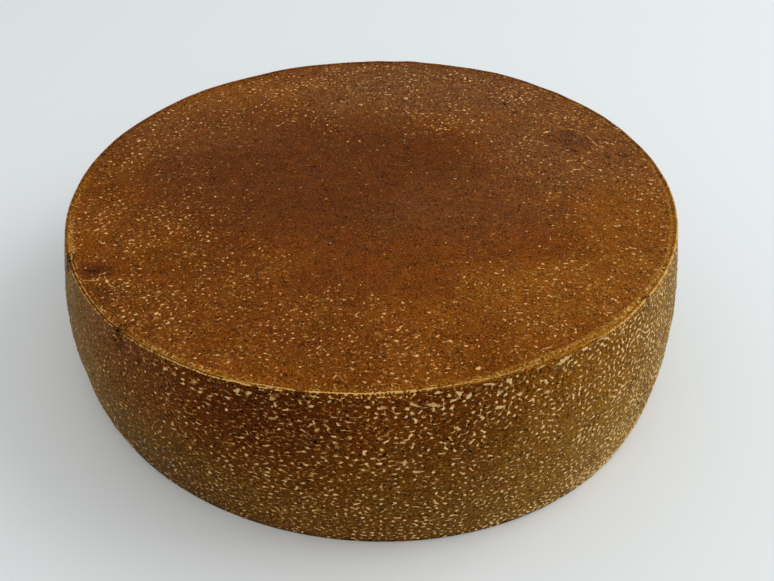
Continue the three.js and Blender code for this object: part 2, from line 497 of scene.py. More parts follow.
def new_piece(name, vertices, faces, places, values, finish):
    """A smooth mesh from millimetres, with places on its map from 0 to 1 and named values."""
    mesh = bpy.data.meshes.new(name)
    mesh.from_pydata((vertices * MM).tolist(), [], faces)
    mesh.uv_layers.new(name="OFBake").data.foreach_set("uv", np.asarray(places).ravel())
    for value_name, numbers in values.items():
        add_values(mesh, value_name, numbers)
    mesh.shade_smooth()
    mesh.materials.append(finish)
    piece = bpy.data.objects.new(name, mesh)
    bpy.context.scene.collection.objects.link(piece)
    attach(piece, BODY)
    return piece


# ---------- Materials ----------


def linear(red, green, blue):
    """A colour from 0-255 screen values, as the shaders take it."""
    shares = [value / 255 for value in (red, green, blue)]
    return tuple(s / 12.92 if s <= 0.04045 else ((s + 0.055) / 1.055) ** 2.4 for s in shares) + (1,)


RUST = linear(118, 60, 4)
RUST_DEEP = linear(106, 53, 3)
RED_RUST = linear(105, 50, 14)
PLUM = linear(94, 46, 10)
OCHRE = linear(131, 75, 14)
BLOOM_AND_SHEEN = linear(107, 62, 28)
SIDE_HIGH = linear(90, 40, 0)
SIDE_LOW = linear(90, 54, 4)
SIDE_BROWN = linear(96, 52, 10)
SIDE_DARK = linear(68, 28, 0)
GOLD_HIGH = linear(136, 88, 12)
GOLD_LOW = linear(142, 104, 36)
# The grey of a painted sheen: a glancing reflection mixed into the side's colour
SHEEN_GREY = linear(123, 98, 55)
RIM_GOLD = linear(160, 104, 22)
CREASE_BROWN = linear(76, 34, 2)
DULL_SPECK = linear(170, 118, 56)

# Scabs: at their dull edges, where they stand high, and the palest of them, which on the top is a
# painted reflection
SIDE_SCAB = (linear(142, 96, 40), linear(232, 193, 131))
CHIP_SCAB = (linear(156, 112, 58), linear(212, 180, 124))
TOP_SCAB = (linear(150, 92, 34), linear(228, 172, 104), linear(226, 188, 148))
RIM_SCAB = (linear(148, 97, 28), linear(216, 166, 92))


class Finish:
    """One material's node tree, written as plain calls."""

    def __init__(self, name, roughness, specular):
        self.material = bpy.data.materials.new(name)
        self.material.use_nodes = True
        self.tree = self.material.node_tree
        self.shader = self.tree.nodes["Principled BSDF"]
        self.shader.inputs["Roughness"].default_value = roughness
        self.shader.inputs["Specular IOR Level"].default_value = specular
        self.place = self.add("TexCoord", {}, output="Object")

    def add(self, kind, inputs, output=0, **settings):
        """Adds a node, whose inputs are given as numbers, colours or other nodes' outputs."""
        node = self.tree.nodes.new("ShaderNode" + kind)
        for setting, value in settings.items():
            setattr(node, setting, value)
        for socket, value in inputs.items():
            self.give(node.inputs[socket], value)
        return node.outputs[output]

    def give(self, socket, value):
        """Links another node's output to a socket, or sets a number or a colour on it."""
        if isinstance(value, bpy.types.NodeSocket):
            self.tree.links.new(value, socket)
        else:
            socket.default_value = value

    def noise(self, size, detail=1.0, squash=1.0, shift=0.0):
        """Noise about 0.5 whose lumps are size millimetres across, and flatter by squash."""
        scale = 1 / (size * MM)
        stretched = self.add(
            "VectorMath",
            {0: self.place, 1: (scale, scale, scale * squash), 2: (shift, shift, shift)},
            operation="MULTIPLY_ADD",
        )
        return self.add("TexNoise", {"Vector": stretched, "Scale": 1.0, "Detail": detail})

    def value(self, name):
        """The number that each vertex has under this name."""
        return self.add("Attribute", {}, output="Fac", attribute_name=name)

    def rise(self, value, low, high, to=1.0):
        """From 0 to a given number as value goes from low to high."""
        return self.add(
            "MapRange",
            {"Value": value, "From Min": low, "From Max": high, "To Max": to},
            interpolation_type="SMOOTHSTEP",
        )

    def math(self, operation, *values):
        return self.add("Math", dict(enumerate(values)), operation=operation)

    def mix(self, share, first, second):
        inputs = {0: share, 6: first, 7: second}
        return self.add("Mix", inputs, output=2, data_type="RGBA")

    def lighten(self, colour, factor, hue=0.5):
        """Makes a colour lighter by a factor, and turns its hue where that isn't 0.5."""
        return self.add("HueSaturation", {"Color": colour, "Value": factor, "Hue": hue})

    def finish(self, colour, height, depth, roughness):
        """Links the worked-out colour, bump and roughness to the shader."""
        normal = self.add("Bump", {"Height": height, "Distance": depth * MM, "Strength": 1.0})
        self.give(self.shader.inputs["Base Color"], colour)
        self.give(self.shader.inputs["Normal"], normal)
        self.give(self.shader.inputs["Roughness"], roughness)
        return self.material


def top_colour(f):
    """Rust, plum in the dark middle, ochre in front, and dull at the back with bloom and a painted
    sheen.
    """
    specked = f.value("specked")
    colour = f.mix(f.rise(f.noise(30, detail=3), 0.38, 0.62), RUST_DEEP, RUST)
    colour = f.mix(f.value("gold"), colour, OCHRE)
    colour = f.mix(f.rise(specked, 0.8, 0.3, to=0.5), colour, RED_RUST)
    colour = f.mix(f.rise(specked, 0.8, 1.4, to=0.35), colour, OCHRE)
    colour = f.mix(f.value("dark"), colour, PLUM)
    return f.mix(f.value("bloom_and_sheen"), colour, BLOOM_AND_SHEEN)


def side_colour(f):
    """Brown under the rim and olive at the foot, with golden and dark ranges, and a grey painted sheen
    where the side turns away.
    """
    uneven = f.math("MULTIPLY", f.noise(22, detail=3, squash=1.4), 30.0)
    low = f.rise(f.math("ADD", f.value("from_rim"), uneven), 11.0, -45.0)
    colour = f.mix(low, SIDE_HIGH, SIDE_LOW)
    colour = f.mix(f.value("gold"), colour, f.mix(low, GOLD_HIGH, GOLD_LOW))
    browner = f.rise(f.noise(15, detail=3, shift=77.0), 0.5, 0.68, to=0.4)
    colour = f.mix(browner, colour, SIDE_BROWN)
    colour = f.mix(f.value("dark"), colour, SIDE_DARK)
    return f.mix(f.math("MULTIPLY", f.value("painted_sheen"), 0.8), colour, SHEEN_GREY)


def rim_colour(f, colour):
    """Adds the golden rub of the rim and the dark crease between its folds."""
    from_rim = f.value("from_rim")
    rubbed = f.math("MULTIPLY", f.rise(from_rim, -1.0, 0.2), f.rise(from_rim, 5.2, 1.5))
    rubbed = f.math("MULTIPLY", rubbed, f.rise(f.noise(2.4, detail=2), 0.3, 0.52))
    rubbed = f.math("MULTIPLY", rubbed, f.value("rubbed"))
    crease = f.math("MULTIPLY", f.rise(f.value("off_crease"), 0.8, 0.4), f.value("creased"))
    return f.mix(crease, f.mix(rubbed, colour, RIM_GOLD), CREASE_BROWN)


def rind_light(f):
    """How much lighter or darker grain, mottling, pores, pits, and painted shade at the foot and on
    the lower left make the rind.
    """
    bloom_and_sheen = f.value("bloom_and_sheen")
    mottle = f.rise(f.noise(6, detail=3, squash=1.3), 0.3, 0.7, to=0.24)
    flecks = f.rise(f.noise(2.6, detail=2, shift=51.0), 0.48, 0.72, to=0.6)
    mottle = f.math("MULTIPLY_ADD", flecks, bloom_and_sheen, mottle)
    fine = f.rise(f.noise(0.75, detail=1, squash=1.2, shift=40.0), 0.28, 0.72, to=1.1)
    pores = f.rise(f.noise(1.3, detail=1, squash=1.3, shift=23.0), 0.44, 0.3, to=-0.8)
    porous = f.math("MULTIPLY_ADD", bloom_and_sheen, 0.5, 1.0)
    porous = f.math("MULTIPLY_ADD", f.value("on_top"), -0.35, porous)
    # Pits and gaps darken the rind, and so does the painted shade of the side's lower left
    darker = f.math("MULTIPLY", f.value("pits_and_shade"), -0.62)
    darker = f.math("MULTIPLY_ADD", pores, porous, darker)
    # Painted shade: the lowest few millimetres of the side, where it meets the floor, are darkened as
    # contact shade, less under the painted sheen
    foot = f.math("MULTIPLY", f.rise(f.value("from_rim"), -82.5, -86.0), f.rise(f.noise(9), 0.4, 0.55))
    # Where the side has no painted sheen
    off_sheen = f.math("SUBTRACT", 1.0, f.value("painted_sheen"))
    darker = f.math("MULTIPLY_ADD", f.math("MULTIPLY", foot, off_sheen), -0.65, darker)
    return f.math("ADD", f.math("ADD", mottle, fine), f.math("ADD", darker, 0.42))


def rind_material():
    f = Finish("washed_rind", roughness=0.6, specular=0.03)
    colour = rim_colour(f, f.mix(f.value("on_top"), side_colour(f), top_colour(f)))
    specks = f.math("MULTIPLY", f.value("specked"), 0.075)
    specks = f.math("ADD", f.noise(1.7, detail=1.5, squash=1.5), specks)
    specks = f.rise(specks, 0.66, 0.74, to=0.45)
    colour = f.mix(specks, colour, DULL_SPECK)
    hue = f.math("ADD", f.rise(f.noise(8, detail=3, shift=61.0), 0.3, 0.7, to=0.006), 0.497)
    colour = f.lighten(colour, rind_light(f), hue)
    height = f.math("ADD", f.noise(1.2, detail=3), f.math("MULTIPLY", specks, 0.5))
    roughness = f.rise(f.noise(5, detail=2), 0.2, 0.8, to=0.3)
    return f.finish(colour, height, 0.35, f.math("ADD", roughness, 0.45))


def scab_material(name, dull, pale, palest=None):
    """The dry scabs of the rind, which are paler where they stand higher."""
    f = Finish(name, roughness=0.7, specular=0.05)
    tone = f.math("ADD", f.value("tone"), f.rise(f.noise(1.1, detail=2), 0.2, 0.8, to=0.3))
    tone = f.math("ADD", tone, f.rise(f.noise(5.0, detail=1, shift=9.0), 0.3, 0.7, to=0.5))
    colour = f.mix(f.rise(tone, 0.3, 1.5), dull, pale)
    # The palest colour is a painted reflection, on the far specks of the top
    if palest:
        colour = f.mix(f.rise(tone, 1.9, 2.9), colour, palest)
    shade = f.math("ADD", f.rise(f.noise(0.7, detail=2, shift=17.0), 0.25, 0.75, to=0.22), 0.86)
    roughness = f.math("ADD", f.rise(f.noise(2.0), 0.2, 0.8, to=0.2), 0.6)
    return f.finish(f.lighten(colour, shade), f.noise(0.6, detail=2), 0.12, roughness)


# ---------- The rind ----------

SIDE_COLUMNS = 700
SIDE_ROWS = 62
FACE_STEP = 1.6  # distance between rings on the top face, and on the underside
BASE_STEP = 5.0
FEWEST = 6  # points of the smallest rings
RIM_INSETS = (0.2, 0.4, 0.7, 1.0, 1.4, 1.8, 2.2, 2.7, 3.2, 3.7, 4.3, 5.0)  # rings at the rim

# Where the unrolled rind lies on its square map, in millimetres
RIND_MAP = 505.0
TOP_DISC = (152.0, 352.5, 1.0)  # middle and scale
BASE_DISC = (404.0, 352.5, 0.63)
STRIP_LOWS = (4.0, 101.0)  # the side is unrolled as two strips
STRIP_LEFT = 6.0
WIDEST_RADIUS = 156.0
STRIP_SCALE = 2 * math.pi * WIDEST_RADIUS / SIDE_COLUMNS


def ring_plan():
    """Rings from the middle of the underside to the middle of the top: part, size, count."""
    base_edge = BASE_RADIUS - LOWER_EDGE
    inner = RIM_RADIUS - RIM_INSETS[-1]
    rings = [("base", 0.0, 1)]
    for radius in np.arange(BASE_STEP, base_edge - BASE_STEP / 2, BASE_STEP):
        rings.append(("base", radius, max(FEWEST, round(2 * math.pi * radius / BASE_STEP))))
    rings.append(("base", base_edge, SIDE_COLUMNS))
    rings += [("side", z, SIDE_COLUMNS) for z in np.linspace(LOWER_EDGE, THICKNESS, SIDE_ROWS)]
    rings += [("top", RIM_RADIUS - inset, SIDE_COLUMNS) for inset in RIM_INSETS]
    for radius in np.arange(inner - FACE_STEP, FACE_STEP / 2, -FACE_STEP):
        rings.append(("top", radius, max(FEWEST, round(2 * math.pi * radius / FACE_STEP))))
    rings.append(("top", 0.0, 1))
    return rings


def ring_points(part, size, count):
    """The points of a ring, with the values that its colours are made from."""
    bearing = 360.0 * np.arange(count) / count
    radius = side_radius(size / THICKNESS) if part == "side" else size
    x, y = radius * np.cos(np.radians(bearing)), radius * np.sin(np.radians(bearing))
    if part == "side":
        points = on_side(bearing, np.full(count, size))
        from_rim, height = size - THICKNESS, size / THICKNESS
        dark = range_share(bearing, DARK_SIDE) * smoothstep(height, *DARK_HEIGHTS)
        gold, specked = range_share(bearing, GOLD_SIDE), side_specks(bearing, size)
        # Painted shade: the foot of the lower left, which lies in shade, is darkened and greyed
        foot_shade = range_share(bearing, SHADED_FOOT)
        foot_shade = foot_shade * smoothstep(SHADE_BELOW - height, 0.0, SHADE_EDGE)
        bloom_and_sheen, pits_and_shade = 0.0, np.maximum(gap_share(bearing, from_rim), SHADE_DARKENS * foot_shade)
    else:
        points = on_face(x, y) if part == "top" else on_base(x, y)
        from_rim = RIM_RADIUS - size if part == "top" else -THICKNESS
        dark = patch_share(x, y, DARK_TOP, DARK_LAYER)
        gold = patch_share(x, y, GOLD_TOP, GOLD_LAYER)
        bloom_and_sheen = patch_share(x, y, BLOOM_AND_SHEEN_TOP, BLOOM_AND_SHEEN_LAYER)
        specked, foot_shade = top_specks(x, y), 0.0
        gaps = gap_share(bearing, from_rim if part == "top" else RIM_RADIUS)
        pits_and_shade = np.maximum(pit_share(x, y), gaps)
    values = {
        "from_rim": from_rim,
        "on_top": float(part != "side"),
        "dark": dark,
        "gold": gold,
        "bloom_and_sheen": bloom_and_sheen,
        "pits_and_shade": pits_and_shade,
        "specked": specked,
        "creased": along_rim(bearing, DARK_CREASE),
        "off_crease": np.abs(from_rim - along_rim(bearing, CREASE_COURSE)),
        "rubbed": along_rim(bearing, RUBBED_RIM),
        "painted_sheen": along_rim(bearing, PAINTED_SHEEN_SIDE) + SHADE_GREYING * foot_shade,
    }
    return points, {name: np.broadcast_to(value, count) for name, value in values.items()}


def stitch(lower, upper):
    """Triangles between two rings of points: pairs of a ring, 0 or 1, and an index round it."""
    triangles = []
    i = j = 0
    while i < lower or j < upper:
        if j >= upper or (i < lower and (i + 1) / lower <= (j + 1) / upper):
            if lower > 1:
                triangles.append(((0, i), (0, i + 1), (1, j)))
            i += 1
        else:
            if upper > 1:
                triangles.append(((0, i), (1, j + 1), (1, j)))
            j += 1
    return triangles


def disc_place(disc, radius, share):
    """The place of a face's point on the map, at a share of the turn round its disc."""
    middle_x, middle_y, scale = disc
    angle = 2 * math.pi * share
    return middle_x + scale * radius * math.cos(angle), middle_y + scale * radius * math.sin(angle)


def rind_places(pair, triangle):
    """Places on the map of the corners of one triangle, between a pair of rings."""
    parts = {pair[0][0], pair[1][0]}
    corners = [(pair[r][0], pair[r][1], i, i / pair[r][2]) for r, i in triangle]
    if parts == {"base"}:
        return [disc_place(BASE_DISC, size, share) for _, size, _, share in corners]
    if "top" in parts:
        return [
            disc_place(TOP_DISC, size if part == "top" else RIM_RADIUS, share)
            for part, size, _, share in corners
        ]
    half = SIDE_COLUMNS // 2
    strip = int(min(i for _, i in triangle) >= half)
    return [
        (
            STRIP_LEFT + (i - strip * half) * STRIP_SCALE,
            STRIP_LOWS[strip] + (size if part == "side" else 0.0),
        )
        for part, size, i, _ in corners
    ]


def make_rind():
    """The whole skin as one closed mesh of rings, in the solid's own form."""
    rings = ring_plan()
    starts = np.cumsum([0] + [count for _, _, count in rings])
    made = [ring_points(*ring) for ring in rings]
    vertices = np.vstack([points for points, _ in made])
    values = {name: np.concatenate([ring[name] for _, ring in made]) for name in made[0][1]}
    faces, places = [], []
    for band, pair in enumerate(zip(rings, rings[1:])):
        for triangle in stitch(pair[0][2], pair[1][2]):
            faces.append([starts[band + r] + i % pair[r][2] for r, i in triangle])
            places.append(rind_places(pair, triangle))
    places = np.array(places) / RIND_MAP
    rind = new_piece("cheese_rind", vertices, faces, places, values, rind_material())
    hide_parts(NODE)


# ---------- Scabs: the specks, chips and worn folds that stand on the rind ----------

SPREAD_RADIUS = 154.0  # of the side when it is rolled out flat
SEAM = 90.0  # bearing where it is cut, at the back
SUNK = 0.15  # how far a scab's edge lies in the rind
UNDER = 0.3  # how far its underside lies below that edge
UNDER_SCALE = 0.2  # of the undersides on a map
MAP_MARGIN = 4.0  # clear of the sides of a map, and between what lies on it
MAP_GAP = 1.0
MOST_PULL = 0.85  # steps by which a corner of the grid may be moved onto a scab's outline
TINY = 1e-9

# A scab's dome and tone rise from its edge, over this much excess
DOME_RISE = 0.4
TONE_RISE = 0.7
EDGE_TONE = 0.3
LOW_TONE = 0.45
HIGH_TONE = 0.7  # more than the low one


def grain(shape, step, long, high, seed, band=0.55):
    """Random grains this long and high on a grid, more alike with a narrower band of sizes."""
    draw = np.random.default_rng(seed).standard_normal(shape)
    wave = np.hypot(
        np.fft.fftfreq(shape[0], step)[:, None] * high,
        np.fft.rfftfreq(shape[1], step)[None, :] * long,
    )
    field = np.fft.irfft2(np.fft.rfft2(draw) * np.exp(-(((wave - 1) / band) ** 2)), shape)
    return field / field.std()


def scab_cells(excess, step):
    """Closed scabs where a grid's excess is above 0: their vertices' places and the faces.

    Each vertex also has its excess, its corner of the grid, and whether it is an underside's.
    """
    excess = excess.copy()
    excess[[0, -1]] = excess[:, [0, -1]] = -1
    columns = excess.shape[1]
    corner = np.arange(excess.size).reshape(excess.shape)
    cells = [corner[:-1, :-1], corner[:-1, 1:], corner[1:, 1:], corner[1:, :-1]]
    cells = np.stack(cells, -1).reshape(-1, 4)
    inside = excess.ravel()[cells] > 0
    crossed = inside[:, [0, 2]].sum(axis=1) > inside[:, [1, 3]].sum(axis=1)
    cells = np.where(crossed[:, None], np.roll(cells, 1, axis=1), cells)
    triangles = np.vstack([cells[:, [0, 1, 2]], cells[:, [0, 2, 3]]])
    triangles = triangles[(excess.ravel()[triangles] > 0).any(axis=1)]
    used, triangles = np.unique(triangles, return_inverse=True)
    triangles = triangles.reshape(-1, 3)
    value = excess.ravel()[used]
    inner = value > 0
    slope_up, slope_along = (slope.ravel()[used] for slope in np.gradient(excess, step))
    steep = np.hypot(slope_along, slope_up) + TINY
    pull = np.where(inner, 0, np.minimum(-value / steep, MOST_PULL * step)) / steep
    along = used % columns * step + slope_along * pull
    up = used // columns * step + slope_up * pull
    under = np.where(inner, len(used) + np.cumsum(inner) - 1, np.arange(len(used)))
    order = np.concatenate([np.arange(len(used)), np.flatnonzero(inner)])
    below = np.arange(len(order)) >= len(used)
    faces = np.vstack([triangles, under[triangles][:, ::-1]])
    return along[order], up[order], np.maximum(value, 0)[order], used[order], below, faces


def map_places(along, up, faces, strips, length, high):
    """Places on a square map of a long band cut into strips, with the undersides in a corner."""
    strip_length = length / strips
    side = max(strip_length, strips * high * (1 + UNDER_SCALE)) + 2 * MAP_MARGIN
    strip = np.clip(along[faces].mean(axis=1) // strip_length, 0, strips - 1)[:, None]
    across = along[faces] - strip * strip_length + MAP_MARGIN
    places = np.stack([across, up[faces] + strip * high + MAP_GAP], -1)
    tops = len(faces) // 2
    places[tops:] = places[tops:] * UNDER_SCALE + (0, strips * high + 2 * MAP_GAP)
    return places / side


def make_scabs(name, excess, step, place, dome, finish, strips, pale=0.0):
    """A piece with all the scabs of one grid: place takes it to the rind, lifted by a height.

    pale is how much paler the scabs are, as one number or for each corner of the grid.
    """
    along, up, value, corner, below, faces = scab_cells(excess, step)
    inner = value > 0
    lift = np.where(inner, dome * (1 - np.exp(-value / DOME_RISE)), -SUNK)
    lift = np.where(below, -SUNK - UNDER, lift)
    vertices = place(along, up, lift)
    length, high = excess.shape[1] * step, excess.shape[0] * step
    places = map_places(along, up, faces, strips, length, high)
    tone = LOW_TONE + HIGH_TONE * (1 - np.exp(-value / TONE_RISE))
    tone = np.where(inner, tone, EDGE_TONE)
    tone += np.broadcast_to(pale, excess.shape).ravel()[corner]
    return new_piece(name, vertices, faces.tolist(), places, {"tone": tone}, finish)


def grid(long, high, step):
    """A grid's places along and up it."""
    return np.meshgrid(np.arange(0, long, step), np.arange(0, high, step))


def stroke_excess(along, up, strokes):
    """Above 0 on thin straight strokes: the places of their two ends, and the half width."""
    excess = np.full(along.shape, -1.0)
    for start_along, start_up, end_along, end_up, half_width in strokes:
        run, climb = end_along - start_along, end_up - start_up
        share = (along - start_along) * run + (up - start_up) * climb
        share = np.clip(share / (run * run + climb * climb), 0, 1)
        gap = np.hypot(along - start_along - share * run, up - start_up - share * climb)
        excess = np.maximum(excess, 1.0 - gap / half_width)
    return excess


def seam_bearing(along, radius=SPREAD_RADIUS):
    """Bearing of a place of the rolled-out side or rim."""
    return SEAM + np.degrees(along / radius)


def push_out(points, bearing, lift):
    """Moves points outwards, level."""
    outward = np.column_stack([np.cos(np.radians(bearing)), np.sin(np.radians(bearing))])
    points[:, :2] += outward * lift[:, None]
    return points


def side_place(margin):
    """What takes places of the rolled-out side, cut off by a margin, to the lifted rind."""
    def place(along, up, lift):
        bearing = seam_bearing(along)
        return push_out(on_side(bearing, up + margin), bearing, lift)

    return place


# Larger chips of the side: bearing, distance below the rim, half length, half height, turn
CHIPS = (
    (-57.8, 2.4, 4.8, 1, 9), (-62, 1.1, 2.8, 0.8, 5), (-67.6, 3, 2.7, 0.9, -50),
    (-74, 5.2, 1.8, 1, 40), (-75.8, 3, 1.8, 0.8, -40), (-78.8, 1.2, 1.8, 0.9, 15),
    (-79.5, 6.8, 3.9, 0.9, -16), (-82.5, 5.4, 2.4, 0.8, -25), (-87, 6, 2, 0.9, -12),
    (-70.5, 2.2, 2.2, 0.7, -20), (-69, 6.7, 1.6, 1.1, 10), (-65.8, 9.9, 1.4, 1, 0),
    (-69, 13.2, 3.1, 0.8, -4), (-63.5, 14.9, 1.6, 0.7, 90), (-61, 13.2, 1.9, 1.1, -5),
    (-61.2, 8.4, 1.9, 0.9, -45), (-57.8, 6, 1.5, 0.8, -60), (-52.4, 6.9, 1.7, 1, 25),
    (-49.8, 11.7, 1.8, 0.8, 40), (-53.2, 1.8, 1.4, 0.8, 0), (-44.1, 4.5, 1.9, 1.3, 50),
    (-49.6, 1.2, 4.4, 0.5, 3), (-76, 18.6, 1.8, 1, -35), (-72, 16, 1.8, 0.9, -40),
    (-83.8, 32.8, 2, 0.9, 70), (-82.1, 37.8, 2.5, 0.8, -12), (-84.1, 22.5, 1.4, 1, 0),
    (-53.9, 43.6, 1.6, 1.1, 0), (-103.4, 4.3, 1.5, 1.3, 0), (-103, 7.2, 1.8, 0.8, -80),
    (-107.2, 3.7, 1.6, 0.9, 5), (-109.1, 3.9, 1.8, 1, 80), (-116.6, 5.6, 1.6, 1.4, 0),
    (-112.8, 8.4, 1.4, 0.6, 0), (-110.9, 8.6, 1.7, 0.7, -14), (-122.2, 4.8, 1.4, 1, 0),
    (-120.4, 5.6, 1.3, 0.9, -30), (-127, 6.3, 1.9, 0.8, -60), (-97.5, 5.8, 1.6, 0.8, 5),
    (-103.6, 14, 1.8, 0.8, 5),
)

# Thin pale wrinkles and worm-like specks of the top: both ends, and the half width
TOP_STROKES = (
    (-126.8, -75, -120.7, -73.1, 0.42), (-120.7, -73.1, -121.1, -69, 0.42),
    (-121.1, -69, -118.4, -67.4, 0.5), (-118.5, -70.5, -115.2, -76, 0.4),
    (-115.2, -76, -113.6, -77.8, 0.5), (93, 60, 96.8, 61.8, 0.8), (106.5, 64, 109.5, 63, 0.6),
    (110.6, 62, 113.6, 60, 0.6), (115.8, 56.6, 117.6, 53, 0.6), (118.2, 51.2, 119.8, 47.6, 0.7),
    (119.8, 47.4, 121.6, 44.2, 0.7), (131.6, -7.5, 134.4, -7.5, 0.8), (57, -39.4, 59.2, -37, 0.6),
    (51.3, -117.2, 54.6, -118.4, 0.6), (58.8, -125.3, 61.2, -123, 0.6),
    (32, -118.6, 34.9, -117, 0.6), (73, -123.4, 75.6, -121.9, 0.6), (91.8, -60.2, 94.3, -59.2, 0.6),
    (102, 30.2, 104.3, 31.3, 0.8), (104.2, 22.3, 105.8, 22.7, 0.8),
    (-131.8, -34.2, -130.6, -33, 0.9),
)

# Thin worn lines of the rim: bearing and inset of both ends, and the half width
RIM_LINES = (
    (-78, 0.3, -62, 0.3, 0.24),
    (-76, 1.7, -62, 1.8, 0.24),
    (-153, -0.1, -102, -0.2, 0.32),
    (-165, 1.9, -151, 1.5, 0.36),
    (-151, 1.5, -112, 1.3, 0.33),
    (-112, 1.3, -100.6, 0.8, 0.42),
    (-142, 2.5, -138, 2.4, 0.24),
    (-130, 2.3, -114, 2.3, 0.24),
    (-150, 0.4, -149.1, 6.3, 0.3),
)

# Bearings of the rim: middle, half range, strength
TOOTHED = ((-170, 22, 1), (-40, 50, 0.9))  # where the fold is torn across
FLECKED = ((-132, 30, 1),)  # where golden flecks lie on the fold
CREAM_CREST = ((-34, 26, 1), (-94, 16, 0.5))  # where the crest is palest
BEADED = ((-88, 26, 1), (-30, 30, 0.7))  # where a row of beads lies below the rim

# Steps of the grids that the scabs are made on
SIDE_STEP = 0.73
TOP_STEP = 0.45
RIM_STEP = 0.36

SPECK_MARGIN = 0.6  # how far the side's specks and chips stay from its edges
CHIP_MARGIN = 0.3
RIM_LOW = -2.6  # the band of the rim reaches from here on the side to RIM_HIGH on the top
RIM_HIGH = 6.4

# How strong a grain has to be to show, where no specks are called for
SIDE_LIMIT = 1.85
CHIP_LIMIT = 3.1
TOP_LIMIT = 2.75
WORM_LIMIT = 2.3
WORM_WIDTH = 0.35  # how far a noise may be from 0 inside a worm-like speck


def make_side_specks(finish):
    along, z = grid(2 * math.pi * SPREAD_RADIUS, THICKNESS - 2 * SPECK_MARGIN, SIDE_STEP)
    bearing = seam_bearing(along)
    field = grain(along.shape, SIDE_STEP, long=3.35, high=2.45, seed=3, band=0.35)
    field += 0.3 * grain(along.shape, SIDE_STEP, long=1.9, high=1.6, seed=4)
    ploughed = range_share(bearing, PLOUGHED_SIDE) * smoothstep(z, 5.0, 45.0)
    drawn_out = grain(along.shape, SIDE_STEP, long=4.6, high=2.3, seed=16, band=0.4)
    field = np.sqrt(1 - ploughed) * field + np.sqrt(ploughed) * drawn_out
    patchy = grain(along.shape, SIDE_STEP, long=22.0, high=15.0, seed=5)
    excess = field + 0.15 * patchy - SIDE_LIMIT + side_specks(bearing, z)

    gold, painted_sheen = range_share(bearing, GOLD_SIDE), along_rim(bearing, PAINTED_SHEEN_SIDE)
    shaded = range_share(bearing, SHADED_SIDE)
    low = smoothstep(50.0 - z, 0.0, 40.0)
    # Painted shade dulls the specks where the side lies in shade, and they are duller under the
    # painted sheen too
    pale = 0.5 * gold - 0.28 - 0.18 * shaded - 0.27 * painted_sheen
    pale += (0.15 + 0.2 * gold - 0.15 * shaded) * (1 - painted_sheen) * low
    place = side_place(SPECK_MARGIN)
    make_scabs("side_specks", excess, SIDE_STEP, place, 0.22, finish, strips=3, pale=pale)


def make_chips(finish):
    along, z = grid(2 * math.pi * SPREAD_RADIUS, THICKNESS - 2 * CHIP_MARGIN, SIDE_STEP)
    bearing, drop = seam_bearing(along), THICKNESS - CHIP_MARGIN - z
    ragged = grain(along.shape, SIDE_STEP, long=2.0, high=1.6, seed=6)
    excess = grain(along.shape, SIDE_STEP, long=5.0, high=3.2, seed=7) - CHIP_LIMIT
    excess += 0.6 * smoothstep(20.0 - drop, 0.0, 20.0) + 0.25 * ragged
    for middle, below, half_length, half_height, turn in CHIPS:
        across = np.radians(turn_between(middle, bearing)) * SPREAD_RADIUS
        reach = turned_reach(across, below - drop, half_length, half_height, turn)
        excess = np.maximum(excess, 1.0 - reach + 0.15 * ragged)

    # Painted shade: the chips are duller where the side lies in shade
    pale = -0.1 - 0.3 * range_share(bearing, SHADED_SIDE)
    place = side_place(CHIP_MARGIN)
    make_scabs("side_chips", excess, SIDE_STEP, place, 0.35, finish, strips=3, pale=pale)


def make_top_specks(finish):
    x, y = grid(2 * RIM_RADIUS, 2 * RIM_RADIUS, TOP_STEP)
    x, y = x - RIM_RADIUS, y - RIM_RADIUS
    specked = top_specks(x.ravel(), y.ravel()).reshape(x.shape)
    field = grain(x.shape, TOP_STEP, long=3.7, high=2.85, seed=8, band=0.45)
    field += 0.4 * grain(x.shape, TOP_STEP, long=1.6, high=1.4, seed=9)
    ragged = grain(x.shape, TOP_STEP, long=1.6, high=1.6, seed=14)
    # Worm-like specks lie along the lines where one noise is 0, where another is high
    line, reach = (grain(x.shape, TOP_STEP, long=6.0, high=5.0, seed=seed) for seed in (18, 19))
    worms = np.minimum(WORM_WIDTH - np.abs(line), reach - WORM_LIMIT + 0.9 * specked)
    excess = np.maximum(field - TOP_LIMIT + 1.1 * specked, worms + 0.15 * ragged)
    strokes = stroke_excess(x, y, TOP_STROKES) + 0.35 * ragged - 0.15
    # Painted reflection: specks towards the far right of the top, where the light glances off, are
    # paler
    far = smoothstep(y + 0.5 * x, -20.0, 70.0)
    uneven = grain(x.shape, TOP_STEP, long=9.0, high=8.0, seed=20)
    flanks = smoothstep(np.abs(x), 40.0, 95.0) * (1 - far)
    pale = 0.1 + 0.7 * far + 0.35 * flanks + 0.35 * uneven
    pale = np.where(strokes > excess, -0.25, pale)
    excess = np.maximum(excess, strokes)
    excess[np.hypot(x, y) > RIM_RADIUS - FOLD_BAND] = -1

    def place(along, up, lift):
        points = on_face(along - RIM_RADIUS, up - RIM_RADIUS)
        points[:, 2] += lift
        return points

    make_scabs("top_specks", excess, TOP_STEP, place, 0.15, finish, strips=1, pale=pale)


def rim_along(bearing):
    """How far round the rolled-out rim a bearing lies."""
    return RIM_RADIUS * math.radians(bearing % 360 - SEAM)


